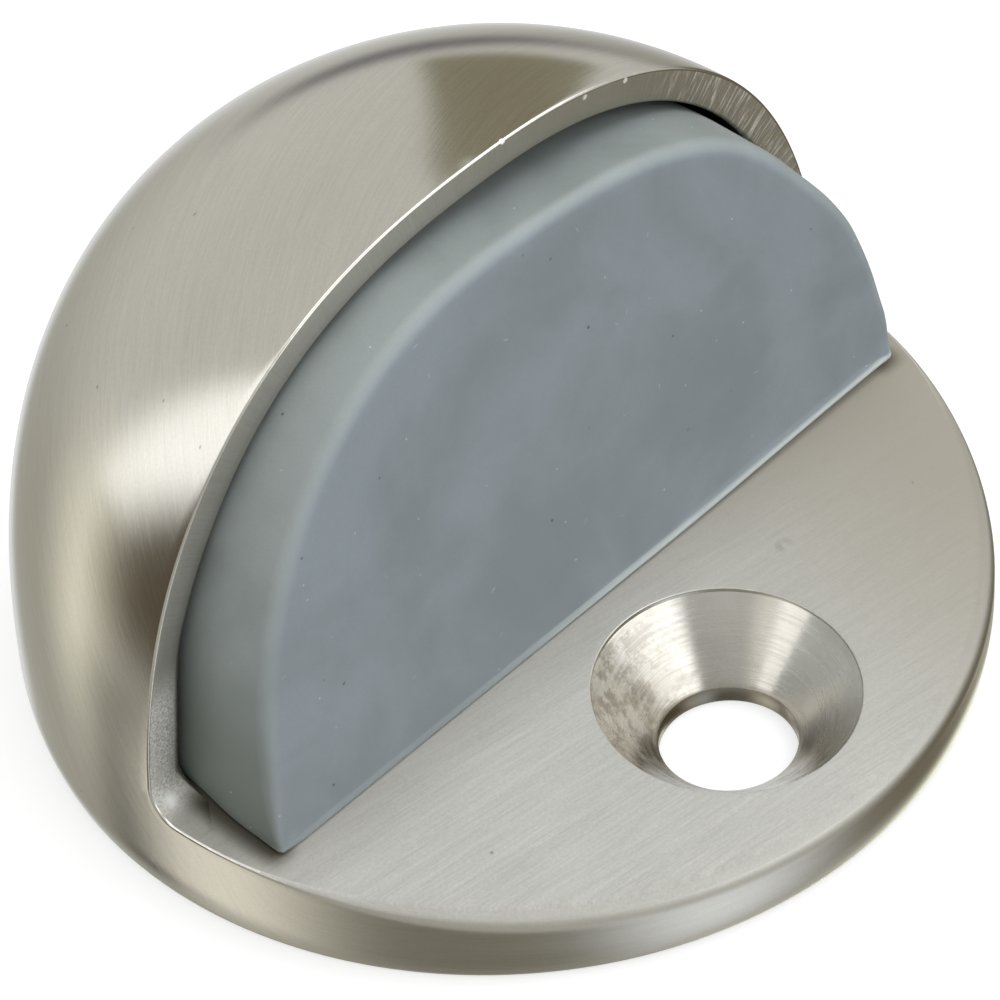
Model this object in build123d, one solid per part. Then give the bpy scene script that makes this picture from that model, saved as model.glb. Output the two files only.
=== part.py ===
from build123d import *
import os
from math import cos, pi, radians, sin, sqrt, tan

# Half-dome floor door stop: a cast body (round foot and half dome in one piece), a grey rubber
# bumper set in a pocket in the dome's flat front, and the screw, washer and moulded-in insert that
# hold the bumper from the underside.
#
# Frame: origin at the centre of the foot's underside, +Z up. The bumper faces -Y, towards the
# door, and the part is symmetric about the plane X = 0. All sizes are in millimetres.

# --- Cast body ---------------------------------------------------------------------------------
BODY_DIAMETER = 44.45          # 1-3/4 in, the widest point
BODY_HEIGHT = 27.2             # crown of the dome above the floor
SHOULDER_Z = 1.9               # height of the widest point
FOOT_RADIUS = 21.9             # underside outline, drawn in a little below the shoulder
DOME_EXPONENT = 2.4            # superellipse exponent: 2 would be a plain ellipse
DOME_POINTS = 14               # points that carry the superellipse spline
WALL_SIDE = 1.7                # rim width beside the bumper
WALL_CROWN = 1.5               # rim width above the bumper
RIM_Y = 0.1                    # plane of the rim, a touch behind the axis
POCKET_DEPTH = 7.0             # back wall of the bumper pocket, behind the axis
RIM_CORNER_RADIUS = 1.5        # hollow curve where the rim meets the base top
BASE_EDGE_RADIUS = 0.35        # softened edge round the base top and the rim

# The base top falls gently towards the front. Its height is given at the screw hole.
HOLE_Y = -13.45
BASE_THICKNESS = 4.1
BASE_FALL_DEG = 3.7

# Countersunk hole for one flat-head screw
HOLE_RADIUS = 3.1
HOLE_LAND = 0.85               # straight bore below the cone
CONE_HALF_DEG = 45.0
RING_DEPTH = 0.3               # shallow straight wall at the top of the cone

# Coring of the casting, behind the bumper pocket and open at the underside
CORE_WALL_SIDE = 2.6
CORE_WALL_CROWN = 3.0
CORE_FRONT_Y = POCKET_DEPTH + 2.6

# --- Rubber bumper -----------------------------------------------------------------------------
BUMPER_GAP = 0.3               # clearance round the bumper inside the rim
BUMPER_BACK_GAP = 0.2
BUMPER_REACH = 5.9             # front face ahead of the axis, at the base top
BUMPER_LEAN_DEG = 8.4          # the front face leans back towards its top
BUMPER_EDGE_RADIUS = 0.5

# --- Bumper fixing, reached from the underside -------------------------------------------------
FIXING_Y = 3.4
SCREW_RADIUS = 1.5             # M3 pan-head
SCREW_LENGTH = 8.0             # under the head
SCREW_TIP = 0.5
SCREW_HEAD_RADIUS = 2.9
SCREW_HEAD_HEIGHT = 1.9
RECESS_SPAN = 3.0              # cross recess, tip to tip
RECESS_WIDTH = 0.7
RECESS_DEPTH = 1.1
WASHER_RADIUS = 3.5
WASHER_BORE_RADIUS = 1.6
WASHER_THICKNESS = 0.5
COUNTERBORE_RADIUS = 3.9
COUNTERBORE_DEPTH = 2.8
CLEARANCE_RADIUS = 1.7
INSERT_RADIUS = 2.5
INSERT_LENGTH = 6.0
INSERT_NECK_RADIUS = 2.0       # groove that keys the insert in the rubber
INSERT_NECK_LENGTH = 1.4

BODY_RADIUS = BODY_DIAMETER / 2
BIG = 60.0                     # reach of the cutting shapes, well past the part
BELOW = 1.0                    # how far a cut from the underside starts below it
UP = (Align.CENTER, Align.CENTER, Align.MIN)


def base_top_z(y):
    """Height of the sloping base top at a distance y from the axis."""
    return BASE_THICKNESS + (y - HOLE_Y) * tan(radians(BASE_FALL_DEG))


POCKET_FLOOR_Z = base_top_z(RIM_Y)


def turned(outline):
    """Solid of revolution about the vertical axis, with its seam at the back."""
    return revolve(Plane.YZ * outline, Axis.Z, 360)


def across(outline):
    """Prism right across the part from an outline drawn in Y and Z."""
    return extrude(Plane.YZ * outline, amount=BIG, both=True)


def slab(y_min, y_max):
    """Everything between two planes of constant Y."""
    outline = Polyline((y_min, -BIG), (y_max, -BIG), (y_max, BIG), (y_min, BIG), (y_min, -BIG))
    return across(make_face(outline))


def dome_curve(inset_side, inset_crown):
    """Superellipse from the shoulder, the widest point, up to the crown."""
    power = 2 / DOME_EXPONENT
    width = BODY_RADIUS - inset_side
    rise = BODY_HEIGHT - inset_crown - SHOULDER_Z
    points = []
    for i in range(DOME_POINTS):
        angle = pi / 2 * i / (DOME_POINTS - 1)
        radius = width * max(cos(angle), 0) ** power if i < DOME_POINTS - 1 else 0
        points.append((radius, SHOULDER_Z + rise * sin(angle) ** power))
    return Spline(*points, tangents=[(0, 1), (-1, 0)])


def cast_outline():
    """Half section of the full casting: foot, rounded shoulder and dome."""
    swell = BODY_RADIUS - FOOT_RADIUS
    arc_radius = (swell**2 + SHOULDER_Z**2) / (2 * swell)
    mid_z = SHOULDER_Z / 2
    mid_r = BODY_RADIUS - arc_radius + sqrt(arc_radius**2 - mid_z**2)
    foot = Line((0, 0), (FOOT_RADIUS, 0))
    shoulder = ThreePointArc((FOOT_RADIUS, 0), (mid_r, mid_z), (BODY_RADIUS, SHOULDER_Z))
    axis = Line((0, BODY_HEIGHT), (0, 0))
    return make_face([foot, shoulder, dome_curve(0, 0), axis])


def inner_outline(inset_side, inset_crown):
    """Half section of a hollow that follows the dome at an inset, open through the underside."""
    radius = BODY_RADIUS - inset_side
    floor = Line((0, -BELOW), (radius, -BELOW))
    side = Line((radius, -BELOW), (radius, SHOULDER_Z))
    axis = Line((0, BODY_HEIGHT - inset_crown), (0, -BELOW))
    return make_face([floor, side, dome_curve(inset_side, inset_crown), axis])


def d_block(inset_side, inset_crown, y_front, y_back):
    """D-shaped block: it follows the dome behind the axis and runs straight forward ahead of it."""
    half = inner_outline(inset_side, inset_crown)
    section = Plane.XZ * (half + mirror(half, Plane.YZ))
    return (turned(half) & slab(0, y_back)) + extrude(section, amount=-y_front)


def above_floor():
    """Everything above the sloping base top, and above the level floor of the pocket."""
    outline = Polyline(
        (-BIG, base_top_z(-BIG)),
        (RIM_Y, POCKET_FLOOR_Z),
        (BIG, POCKET_FLOOR_Z),
        (BIG, BIG),
        (-BIG, BIG),
        (-BIG, base_top_z(-BIG)),
    )
    return across(make_face(outline))


def front_cut():
    """What is taken off a full dome to leave the base top, the rim and the curve between them."""
    corner = (RIM_Y, POCKET_FLOOR_Z)
    outline = make_face(Polyline(corner, (RIM_Y, BIG), (-BIG, BIG), (-BIG, base_top_z(-BIG)), corner))
    vertex = outline.vertices().sort_by_distance(corner)[0]
    return across(fillet(vertex, RIM_CORNER_RADIUS))


def outer_edges(casting):
    """The edge of the base top and of the rim, which run into each other at the corners."""
    edges = []
    for edge in casting.edges():
        middle = edge.position_at(0.5)
        near_front = middle.Y < RIM_Y + 0.01 and middle.Z > base_top_z(middle.Y) - 0.01
        outermost = abs(middle.X) > BODY_RADIUS / 2 or middle.Z > BODY_HEIGHT / 2 or middle.Y < HOLE_Y
        if near_front and outermost:
            edges.append(edge)
    return edges


def hole_cut():
    """Straight land, cone and top wall of the floor screw's hole."""
    ring_z = BASE_THICKNESS - RING_DEPTH
    cone_radius = HOLE_RADIUS + (ring_z - HOLE_LAND) * tan(radians(CONE_HALF_DEG))
    outline = Polyline(
        (0, -BELOW),
        (HOLE_RADIUS, -BELOW),
        (HOLE_RADIUS, HOLE_LAND),
        (cone_radius, ring_z),
        (cone_radius, BODY_HEIGHT),
        (0, BODY_HEIGHT),
        (0, -BELOW),
    )
    return Pos(0, HOLE_Y, 0) * turned(make_face(outline))


def fixing_cut():
    """Counterbore and clearance hole for the bumper screw."""
    counterbore = Cylinder(COUNTERBORE_RADIUS, COUNTERBORE_DEPTH + BELOW, align=UP)
    clearance = Cylinder(CLEARANCE_RADIUS, POCKET_FLOOR_Z + 2 * BELOW, align=UP)
    return Pos(0, FIXING_Y, -BELOW) * (counterbore + clearance)


def make_body():
    casting = turned(cast_outline()) - front_cut()
    casting = fillet(outer_edges(casting), BASE_EDGE_RADIUS)
    pocket = d_block(WALL_SIDE, WALL_CROWN, -2 * RIM_CORNER_RADIUS, POCKET_DEPTH) & above_floor()
    core = turned(inner_outline(CORE_WALL_SIDE, CORE_WALL_CROWN)) & slab(CORE_FRONT_Y, BIG)
    return casting - pocket - core - hole_cut() - fixing_cut()


def insert_outline(bore_radius):
    """Half section of the insert, from its foot up."""
    neck_start = (INSERT_LENGTH - INSERT_NECK_LENGTH) / 2
    neck_end = neck_start + INSERT_NECK_LENGTH
    outline = Polyline(
        (bore_radius, 0),
        (INSERT_RADIUS, 0),
        (INSERT_RADIUS, neck_start),
        (INSERT_NECK_RADIUS, neck_start),
        (INSERT_NECK_RADIUS, neck_end),
        (INSERT_RADIUS, neck_end),
        (INSERT_RADIUS, INSERT_LENGTH),
        (bore_radius, INSERT_LENGTH),
        (bore_radius, 0),
    )
    return make_face(outline)


def make_insert():
    return Pos(0, FIXING_Y, POCKET_FLOOR_Z) * turned(insert_outline(SCREW_RADIUS))


def make_bumper():
    block = d_block(
        WALL_SIDE + BUMPER_GAP,
        WALL_CROWN + BUMPER_GAP,
        -BUMPER_REACH,
        POCKET_DEPTH - BUMPER_BACK_GAP,
    )
    face_foot = (-BUMPER_REACH, base_top_z(-BUMPER_REACH))
    lean = tan(radians(BUMPER_LEAN_DEG))
    behind_face = Polyline(
        (face_foot[0] - (face_foot[1] + BIG) * lean, -BIG),
        (face_foot[0] + (BIG - face_foot[1]) * lean, BIG),
        (BIG, BIG),
        (BIG, -BIG),
        (face_foot[0] - (face_foot[1] + BIG) * lean, -BIG),
    )
    block = block & above_floor() & across(make_face(behind_face))
    face = block.faces().sort_by(Axis.Y)[0]
    curved = [edge for edge in face.edges() if edge.position_at(0.5).Z > face_foot[1] + 0.1]
    block = fillet(curved, BUMPER_EDGE_RADIUS)
    return block - Pos(0, FIXING_Y, POCKET_FLOOR_Z) * turned(insert_outline(0))


def make_screw():
    """Pan-head screw standing on its head, with a cross recess."""
    outline = make_face(
        [
            Line((0, -SCREW_HEAD_HEIGHT), (SCREW_HEAD_RADIUS - 1, -SCREW_HEAD_HEIGHT)),
            RadiusArc(
                (SCREW_HEAD_RADIUS - 1, -SCREW_HEAD_HEIGHT),
                (SCREW_HEAD_RADIUS, -SCREW_HEAD_HEIGHT + 1),
                -1,
            ),
            Polyline(
                (SCREW_HEAD_RADIUS, -SCREW_HEAD_HEIGHT + 1),
                (SCREW_HEAD_RADIUS, 0),
                (SCREW_RADIUS, 0),
                (SCREW_RADIUS, SCREW_LENGTH - SCREW_TIP),
                (SCREW_RADIUS - SCREW_TIP, SCREW_LENGTH),
                (0, SCREW_LENGTH),
                (0, -SCREW_HEAD_HEIGHT),
            ),
        ]
    )
    slot = Box(RECESS_SPAN, RECESS_WIDTH, RECESS_DEPTH + BELOW, align=UP)
    recess = Pos(0, 0, -SCREW_HEAD_HEIGHT - BELOW) * (slot + Rot(Z=90) * slot)
    head_seat_z = COUNTERBORE_DEPTH - WASHER_THICKNESS
    return Pos(0, FIXING_Y, head_seat_z) * (turned(outline) - recess)


def make_washer():
    ring = Cylinder(WASHER_RADIUS, WASHER_THICKNESS, align=UP)
    ring -= Cylinder(WASHER_BORE_RADIUS, WASHER_THICKNESS, align=UP)
    return Pos(0, FIXING_Y, COUNTERBORE_DEPTH - WASHER_THICKNESS) * ring


PIECES = {
    "cast_body": make_body,
    "rubber_bumper": make_bumper,
    "bumper_insert": make_insert,
    "bumper_screw": make_screw,
    "bumper_washer": make_washer,
}

os.makedirs("parts", exist_ok=True)
for name, make in PIECES.items():
    export_step(make(), f"parts/{name}.step")
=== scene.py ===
import bpy
import bmesh
from math import acos, asin, atan, atan2, cos, exp, pi, radians, sin, sqrt, tan
from mathutils import Matrix, Vector, noise


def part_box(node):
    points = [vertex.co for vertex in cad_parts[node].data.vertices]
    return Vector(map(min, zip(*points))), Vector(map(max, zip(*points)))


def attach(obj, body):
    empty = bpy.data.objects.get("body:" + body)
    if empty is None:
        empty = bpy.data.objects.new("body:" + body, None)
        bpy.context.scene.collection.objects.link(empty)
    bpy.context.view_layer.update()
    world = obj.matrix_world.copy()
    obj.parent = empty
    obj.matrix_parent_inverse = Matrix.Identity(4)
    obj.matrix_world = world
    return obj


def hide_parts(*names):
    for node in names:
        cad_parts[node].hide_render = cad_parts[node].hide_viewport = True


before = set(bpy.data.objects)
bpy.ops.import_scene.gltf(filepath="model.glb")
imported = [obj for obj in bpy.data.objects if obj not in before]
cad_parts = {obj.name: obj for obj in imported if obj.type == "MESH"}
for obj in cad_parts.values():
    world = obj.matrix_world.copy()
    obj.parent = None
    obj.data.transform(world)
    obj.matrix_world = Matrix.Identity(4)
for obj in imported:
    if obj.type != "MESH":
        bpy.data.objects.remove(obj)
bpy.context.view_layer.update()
MM = 0.001

# Camera: long lens, above and to the left of the front
AZIMUTH = -43.97
ELEVATION = 44.39
ROLL = -4.35
DISTANCE = 0.2663
AIM = Vector((-0.0002, -0.00034, 0.0076))
LENS = 214.2

# Floor: half its width, and the light that it gives the camera, so that it looks white
FLOOR_HALF = 2.0
FLOOR_GLOW = 0.56

# Studio: soft boxes and grey cards round the object, seen in the metal and giving the light.
# Each one lies over those before it: azimuth (0 is the front, 90 is +X) and elevation of its
# middle, half sizes, soft edges, lean in azimuth per degree of elevation, and brightness.
AMBIENT = (0.45, 0.44, 0.39)
CARDS = [
    (134, 38, 322, 50, 2, 25, 1.0, (0.74, 0.75, 0.72)),
    (0, 90, 360, 20, 2, 10, 0.0, (2.2, 2.25, 2.3)),
    (302, 8, 34, 22, 14, 12, 0.0, (0.5, 0.5, 0.47)),
    (72, 56, 34, 20, 14, 12, 0.0, (2.7, 2.8, 2.9)),
    (22, 33, 33, 15, 5, 7, 0.0, (2.1, 2.15, 2.2)),
    (95, -10, 20, 12, 8, 8, 0.0, (0.16, 0.14, 0.1)),
    (241, 29, 27, 34, 6, 2, 0.18, (1.61, 1.64, 1.66)),
    (132.3, 24, 7.3, 20, 1, 3, 0.0, (0.3, 0.28, 0.2)),
    (139, -6, 11, 5, 7.5, 5, 0.96, (0.2, 0.19, 0.21)),
    (132, -40, 29, 13, 5, 23.5, -0.4, (1.04, 1.07, 1.1)),
    (244, 1, 22, 25, 9.5, 10.5, 0.8, (0.12, 0.1, 0.07)),
    (208, -29, 4, 25, 17, 18, 0.05, (1.61, 1.58, 1.37)),
    (225, -43, 22, 14, 15, 5, 0.94, (0.03, 0.03, 0.03)),
    (296, -56, 50, 24, 19, 4, -0.1, (0.22, 0.21, 0.17)),
    (75, -33, 45, 23, 21.5, 6, 0.27, (0.18, 0.16, 0.11)),
    (114, -60, 22, 13, 14, 3, 0.6, (1.94, 2.0, 1.69)),
    (242, -46, 22, 14.5, 18, 12, 0.32, (1.1, 1.08, 0.97)),
    (2, -48, 22, 21, 20, 15, -0.48, (1.1, 1.16, 1.25)),
]


# --- Node helpers ------------------------------------------------------------------------------
class Tree:
    """Short-hand for building a node tree: every call adds a node and returns its first output."""

    def __init__(self, tree):
        self.tree = tree

    def node(self, kind, **settings):
        node = self.tree.nodes.new(kind)
        for key, value in settings.items():
            setattr(node, key, value)
        return node

    def feed(self, node, socket, value):
        """Connect an output to a socket, or set the socket's value."""
        if isinstance(value, bpy.types.NodeSocket):
            self.tree.links.new(value, node.inputs[socket])
        else:
            node.inputs[socket].default_value = value

    def math(self, operation, *values):
        node = self.node("ShaderNodeMath", operation=operation)
        for i, value in enumerate(values):
            self.feed(node, i, value)
        return node.outputs[0]

    def times(self, *values):
        """Product of the values."""
        result = values[0]
        for value in values[1:]:
            result = self.math("MULTIPLY", result, value)
        return result

    def highest(self, *values):
        result = values[0]
        for value in values[1:]:
            result = self.math("MAXIMUM", result, value)
        return result

    def add(self, base, *terms):
        """The base plus value times weight for each (value, weight)."""
        for value, weight in terms:
            base = self.math("MULTIPLY_ADD", value, weight, base)
        return base

    def vector(self, operation, *values, output=0):
        node = self.node("ShaderNodeVectorMath", operation=operation)
        for i, value in enumerate(values):
            self.feed(node, i, value)
        return node.outputs[output]

    def distance(self, a, b):
        return self.vector("DISTANCE", a, b, output="Value")

    def combine(self, x, y, z):
        node = self.node("ShaderNodeCombineXYZ")
        for i, value in enumerate((x, y, z)):
            self.feed(node, i, value)
        return node.outputs[0]

    def separate(self, vector):
        node = self.node("ShaderNodeSeparateXYZ")
        self.feed(node, 0, vector)
        return node.outputs

    def noise(self, vector, scale, detail=2.0, roughness=0.5, distortion=0.0):
        node = self.node("ShaderNodeTexNoise")
        self.feed(node, "Vector", vector)
        self.feed(node, "Scale", scale)
        self.feed(node, "Detail", detail)
        self.feed(node, "Roughness", roughness)
        self.feed(node, "Distortion", distortion)
        return node.outputs["Fac"]

    def cells(self, vector, scale):
        """Distance to the nearest of randomly placed points."""
        node = self.node("ShaderNodeTexVoronoi")
        self.feed(node, "Vector", vector)
        self.feed(node, "Scale", scale)
        return node.outputs["Distance"]

    def remap(self, value, low, high, to_low=0.0, to_high=1.0, smooth=True):
        kind = "SMOOTHSTEP" if smooth else "LINEAR"
        node = self.node("ShaderNodeMapRange", interpolation_type=kind)
        self.feed(node, "Value", value)
        self.feed(node, "From Min", low)
        self.feed(node, "From Max", high)
        self.feed(node, "To Min", to_low)
        self.feed(node, "To Max", to_high)
        return node.outputs[0]

    def lerp(self, factor, a, b):
        node = self.node("ShaderNodeMix", data_type="FLOAT")
        self.feed(node, 0, factor)
        self.feed(node, 2, a)
        self.feed(node, 3, b)
        return node.outputs[0]

    def mix(self, factor, a, b):
        node = self.node("ShaderNodeMix", data_type="RGBA")
        self.feed(node, 0, factor)
        self.feed(node, 6, a)
        self.feed(node, 7, b)
        return node.outputs[2]

    def bump(self, height, strength, distance):
        node = self.node("ShaderNodeBump")
        self.feed(node, "Height", height)
        self.feed(node, "Strength", strength)
        self.feed(node, "Distance", distance)
        return node.outputs[0]


def material(name):
    mat = bpy.data.materials.new(name)
    mat.use_nodes = True
    tree = Tree(mat.node_tree)
    return mat, tree, mat.node_tree.nodes["Principled BSDF"]


def rgb(r, g, b):
    return (r, g, b, 1.0)


# --- Camera ------------------------------------------------------------------------------------
def add_camera():
    a, e, r = (radians(v) for v in (AZIMUTH, ELEVATION, ROLL))
    back = Vector((sin(a) * cos(e), -cos(a) * cos(e), sin(e)))
    right = Vector((cos(a), sin(a), 0))
    up = back.cross(right)
    right, up = cos(r) * right + sin(r) * up, cos(r) * up - sin(r) * right
    data = bpy.data.cameras.new("camera")
    data.lens = LENS
    data.sensor_width = 36
    data.clip_start = 0.01
    camera = bpy.data.objects.new("camera", data)
    place = Matrix((right, up, back)).transposed().to_4x4()
    place.translation = AIM + DISTANCE * back
    camera.matrix_world = place
    bpy.context.collection.objects.link(camera)
    bpy.context.scene.camera = camera


# --- Studio ------------------------------------------------------------------------------------
def add_floor():
    mesh = bpy.data.meshes.new("floor")
    s = FLOOR_HALF
    mesh.from_pydata([(-s, -s, 0), (s, -s, 0), (s, s, 0), (-s, s, 0)], [], [(0, 1, 2, 3)])
    floor = bpy.data.objects.new("floor", mesh)
    bpy.context.collection.objects.link(floor)
    mat, tree, shader = material("floor")
    tree.feed(shader, "Base Color", rgb(0.5, 0.5, 0.5))
    tree.feed(shader, "Roughness", 0.9)
    tree.feed(shader, "Specular IOR Level", 0.0)
    tree.feed(shader, "Emission Color", rgb(1, 1, 1))
    camera_ray = tree.node("ShaderNodeLightPath").outputs["Is Camera Ray"]
    tree.feed(shader, "Emission Strength", tree.times(camera_ray, FLOOR_GLOW))
    mesh.materials.append(mat)
    floor.visible_glossy = False


def add_world():
    world = bpy.data.worlds.new("world")
    world.use_nodes = True
    tree = Tree(world.node_tree)
    background = world.node_tree.nodes["Background"]
    x, y, z = tree.separate(tree.node("ShaderNodeTexCoord").outputs["Generated"])
    azimuth = tree.math("DEGREES", tree.math("ARCTAN2", x, tree.times(y, -1.0)))
    elevation = tree.math("DEGREES", tree.math("ARCSINE", z))
    light = rgb(*AMBIENT)
    for az, el, half_az, half_el, soft_az, soft_el, lean, colour in CARDS:
        up = tree.math("SUBTRACT", elevation, float(el))
        across = tree.math("SUBTRACT", azimuth, tree.add(float(az), (up, lean)))
        across = tree.math("ABSOLUTE", tree.math("WRAP", across, 180.0, -180.0))
        up = tree.math("ABSOLUTE", up)
        inside = tree.times(
            tree.remap(across, half_az + soft_az, half_az - soft_az),
            tree.remap(up, half_el + soft_el, half_el - soft_el),
        )
        light = tree.mix(inside, light, rgb(*colour))
    camera_ray = tree.node("ShaderNodeLightPath").outputs["Is Camera Ray"]
    tree.feed(background, "Color", tree.mix(camera_ray, light, rgb(1, 1, 1)))
    bpy.context.scene.world = world
    bpy.context.scene.view_settings.view_transform = "Standard"


# --- Cast body: sizes, in millimetres ----------------------------------------------------------
# The dome's outline is a superellipse above the shoulder
EXPONENT = 2.4
SHOULDER = 1.9
FOOT_R = 21.9
FLOOR_EDGE_R = 0.25
# Base: its top slopes down to the front
BASE_AT_HOLE = (-13.45, 4.1)
SLOPE = tan(radians(3.7))
# Rim, the hollow at its foot, and the pocket behind it
RIM_Y = 0.1
HOLLOW_R = 1.5
SIDE_WALL, CROWN_WALL = 1.7, 1.5
RIM_GROWTH = 0.45
POCKET_BACK = 7.0
POCKET_FALL = 0.55
# Rounded edges: at the rim, at the front of the foot, and round the pocket
EDGE_R, FOOT_EDGE_R = 0.13, 1.05
FOOT_EDGE_FADE = (-17.0, -4.0)
POCKET_EDGE_R, POCKET_CROWN_EDGE_R = 0.6, 0.14
# Countersunk hole for the floor screw
HOLE_Y = -13.55
SINK_R, BORE_R, LAND = 6.05, 3.13, 0.9
LIP_R, BREAK = 0.06, 0.03
SINK_WALL, SINK_WALL_LEAN = 0.16, 0.1
# Narrow flat bands beside the rounded edge and the countersink
BAND = 0.3
# Underside: coring, and the hole of the bumper's screw
CORE_SIDE, CORE_CROWN, CORE_Y = 2.6, 3.0, 9.6
FIXING_Y, COUNTERBORE_R, COUNTERBORE_Z, CLEARANCE_R = 3.4, 3.9, 2.8, 1.7

# Steps of the meshes
FRONT_STEPS, HOLLOW_STEPS, RIM_STEPS = 52, 12, 84
WALL_ROWS, FLOOR_EDGE_ROWS, BACK_STEPS, ROUND_STEPS = 12, 3, 150, 7
RIM_ROWS, POCKET_ROWS, POCKET_SLICES = 3, 5, 8
SINK_ROWS, LIP_ROWS, CORE_ROWS, CORE_STEPS = 16, 3, 30, 60
SHARP = radians(36)

low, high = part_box("cast_body")
BODY_R = (high.x - low.x) / 2 / MM
BODY_H = high.z / MM
POCKET_INSET = (SIDE_WALL, CROWN_WALL)

# Zone colours: base top, rim, countersink (painted shade on the other faces), worn edge
DOME = (0, 0, 0, 0)
TOP = (1, 0, 0, 0)
RIM = (0, 1, 0, 0)
SINK = (0, 0, 1, 0)
EDGE = (0, 0, 0, 1)


# --- Cast body: outlines -----------------------------------------------------------------------
def ease(value, start, end):
    """0 before start and 1 after end, with a smooth change between."""
    share = min(max((value - start) / (end - start), 0), 1)
    return share * share * (3 - 2 * share)


def blend(a, b, share):
    return tuple((1 - share) * p + share * q for p, q in zip(a, b))


def base_top(y):
    return BASE_AT_HOLE[1] + (y - BASE_AT_HOLE[0]) * SLOPE


def dome_radius(z, side=0.0, crown=0.0):
    """Radius of the dome's outline at height z, or of the same outline at an inset."""
    if z < SHOULDER and not side:
        arc = ((BODY_R - FOOT_R) ** 2 + SHOULDER**2) / (2 * (BODY_R - FOOT_R))
        return BODY_R - arc + sqrt(arc**2 - (z - SHOULDER) ** 2)
    rise = min(max(z - SHOULDER, 0) / (BODY_H - crown - SHOULDER), 1)
    return (BODY_R - side) * (1 - rise**EXPONENT) ** (1 / EXPONENT)


def dome_point(t, side=0.0, crown=0.0):
    """Radius and height at the superellipse's angle t, 0 at the shoulder and pi/2 at the crown."""
    power = 2 / EXPONENT
    rise = (BODY_H - crown - SHOULDER) * sin(t) ** power
    return (BODY_R - side) * max(cos(t), 0) ** power, SHOULDER + rise


def dome_angle(z, side=0.0, crown=0.0):
    """The superellipse's angle at height z."""
    rise = (z - SHOULDER) / (BODY_H - crown - SHOULDER)
    return asin(rise ** (EXPONENT / 2))


def dome_normal(r, z, side=0.0, crown=0.0):
    """Radial and vertical parts of the outline's normal."""
    if z < SHOULDER:
        out = Vector((1, 0.17 * (z - SHOULDER)))
    else:
        a = BODY_R - side
        b = BODY_H - crown - SHOULDER
        out = Vector(((r / a) ** (EXPONENT - 1) / a, ((z - SHOULDER) / b) ** (EXPONENT - 1) / b))
    return out.normalized()


def mirrored(points):
    return [Vector((-p[0], p[1], p[2])) for p in points]


SIDES = (list, mirrored)


def circle(radius, y, z, steps=96):
    """Closed ring of points about a vertical axis. z is a height, or a function of y."""
    ring = []
    for i in range(steps + 1):
        a = 2 * pi * (i % steps) / steps
        py = y - radius * cos(a)
        ring.append(Vector((radius * sin(a), py, z(py) if callable(z) else z)))
    return ring


def rounding(point, first, second, radius, steps):
    """Points of a rounded edge between two surfaces with the given outward normals."""
    centre = point - radius * (first + second) / (1 + first.dot(second))
    turn = first.angle(second)
    side = (second - first * first.dot(second)).normalized()
    angles = [turn * k / steps for k in range(steps + 1)]
    return [centre + radius * (cos(a) * first + sin(a) * side) for a in angles]


class Shell:
    """A mesh in the making, in millimetres. Points at the same place share one vertex."""

    def __init__(self):
        self.bm = bmesh.new()
        self.zone = self.bm.loops.layers.float_color.new("zone")
        self.found = {}

    def vert(self, point):
        key = tuple(round(c * 2000) for c in point)
        if key not in self.found:
            self.found[key] = self.bm.verts.new(point)
        return self.found[key]

    def face(self, corners):
        """A face from (vertex, zone) corners. Corners that share a vertex count once."""
        ring = [c for i, c in enumerate(corners) if c[0] is not corners[i - 1][0]]
        verts = [c[0] for c in ring]
        if len(set(verts)) == len(verts) >= 3 and not self.bm.faces.get(verts):
            for loop, (_, zone) in zip(self.bm.faces.new(verts).loops, ring):
                loop[self.zone] = zone

    def grid(self, rows, zones=None):
        """Quads between successive rows of points. zones has a zone colour or a list per row."""
        zones = zones or [DOME] * len(rows)
        zones = [z if isinstance(z, list) else [z] * len(row) for z, row in zip(zones, rows)]
        rows = [[(self.vert(p), z) for p, z in zip(*pair)] for pair in zip(rows, zones)]
        for upper, lower in zip(rows, rows[1:]):
            for i in range(len(upper) - 1):
                self.face((upper[i], upper[i + 1], lower[i + 1], lower[i]))

    def fill(self, loops, zone):
        """Flat surface inside the first loop, less the others."""
        edges = []
        for loop in loops:
            ring = [self.vert(p) for p in loop]
            ring = [v for i, v in enumerate(ring) if v is not ring[i - 1]]
            for i, v in enumerate(ring):
                pair = (ring[i - 1], v)
                edges.append(self.bm.edges.get(pair) or self.bm.edges.new(pair))
        made = bmesh.ops.triangle_fill(self.bm, use_beauty=True, edges=edges)["geom"]
        for face in made:
            if isinstance(face, bmesh.types.BMFace):
                for corner in face.loops:
                    corner[self.zone] = zone

    def finish(self, name):
        """Object of the finished mesh, in metres. Each zone picks its faces' material slot."""
        bm = self.bm
        bmesh.ops.remove_doubles(bm, verts=bm.verts, dist=0.0008)
        bmesh.ops.dissolve_degenerate(bm, edges=bm.edges, dist=0.0002)
        bmesh.ops.recalc_face_normals(bm, faces=bm.faces)
        for face in bm.faces:
            face.smooth = True
            zones = [corner[self.zone] for corner in face.loops]
            if sum(z[0] + z[1] for z in zones) > 0.5 * len(zones):
                face.material_index = 1
            elif sum(z[2] for z in zones) > 0.5 * len(zones):
                face.material_index = 2
        for line in bm.edges:
            sharp = not line.is_manifold or line.calc_face_angle() > SHARP
            on_floor = max(v.co.z for v in line.verts) <= 0.001
            line.smooth = not sharp and not on_floor
        bm.transform(Matrix.Scale(MM, 4))
        mesh = bpy.data.meshes.new(name)
        bm.to_mesh(mesh)
        bm.free()
        piece = bpy.data.objects.new(name, mesh)
        bpy.context.collection.objects.link(piece)
        weighted = piece.modifiers.new("weighted_normals", "WEIGHTED_NORMAL")
        weighted.keep_sharp = True
        return piece


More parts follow.
